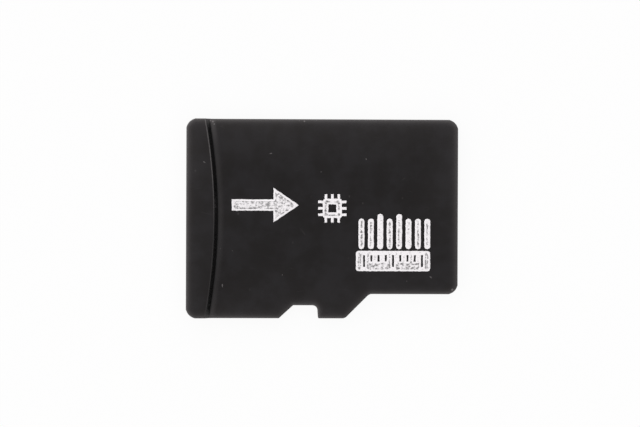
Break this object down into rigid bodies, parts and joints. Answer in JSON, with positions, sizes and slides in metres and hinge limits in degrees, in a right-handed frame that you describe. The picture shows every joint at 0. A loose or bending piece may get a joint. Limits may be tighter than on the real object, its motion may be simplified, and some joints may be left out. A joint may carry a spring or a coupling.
{
  "type": "removable memory card",
  "caption": "Thin black moulded memory card with a curved finger lip, a latch notch, a set-in contact end, gilded contacts below and its dies and wires inside.",
  "frame": {"origin": "centre of the card's outline box on the contact side's surface, which is what the card lies on", "axes": "+X towards the contact edge (the way it goes into a socket), +Y away from the latch notch, +Z out of the printed face"},
  "size_m": [0.015, 0.011, 0.001],
  "materials": {
    "moulding_compound": "black moulded epoxy, fine satin",
    "laminate": "tan glass laminate, seen on its cut edge",
    "solder_mask": "black solder mask, satin gloss",
    "copper": "bare copper under the mask",
    "gilding": "soft gold plating",
    "gold_wire": "drawn gold wire",
    "silicon": "polished silicon",
    "die_film": "dull adhesive film",
    "capacitor_ceramic": "dull brown ceramic",
    "resistor_glaze": "black glaze on ceramic",
    "tin_plating": "matt tin",
    "solder": "reflowed solder, satin",
    "ink": "white printing ink, matt"
  },
  "bodies": {
    "root": {"mould_body": "moulding_compound", "laminate_core": "laminate", "under_mask": "solder_mask", "inner_mask": "solder_mask", "under_tracks": "copper", "inner_tracks": "copper", "via_barrels": "copper", "memory_die": "silicon", "memory_die_film": "die_film", "controller_die": "silicon", "controller_die_film": "die_film", "memory_fingers": "gilding", "controller_fingers": "gilding", "memory_wires": "gold_wire", "controller_wires": "gold_wire", "solder_joints": "solder", "ink_arrow": "ink", "ink_chip_sign": "ink", "ink_comb_sign": "ink", "ink_ruled_plate": "ink", "contact_1": "gilding", "contact_2": "gilding", "contact_3": "gilding", "contact_4": "gilding", "contact_5": "gilding", "contact_6": "gilding", "contact_7": "gilding", "contact_8": "gilding", "capacitor_1": "capacitor_ceramic", "capacitor_2": "capacitor_ceramic", "capacitor_3": "capacitor_ceramic", "capacitor_4": "capacitor_ceramic", "resistor_1": "resistor_glaze", "resistor_2": "resistor_glaze", "capacitor_1_ends": "tin_plating", "capacitor_2_ends": "tin_plating", "capacitor_3_ends": "tin_plating", "capacitor_4_ends": "tin_plating", "resistor_1_ends": "tin_plating", "resistor_2_ends": "tin_plating"}
  },
  "joints": []
}
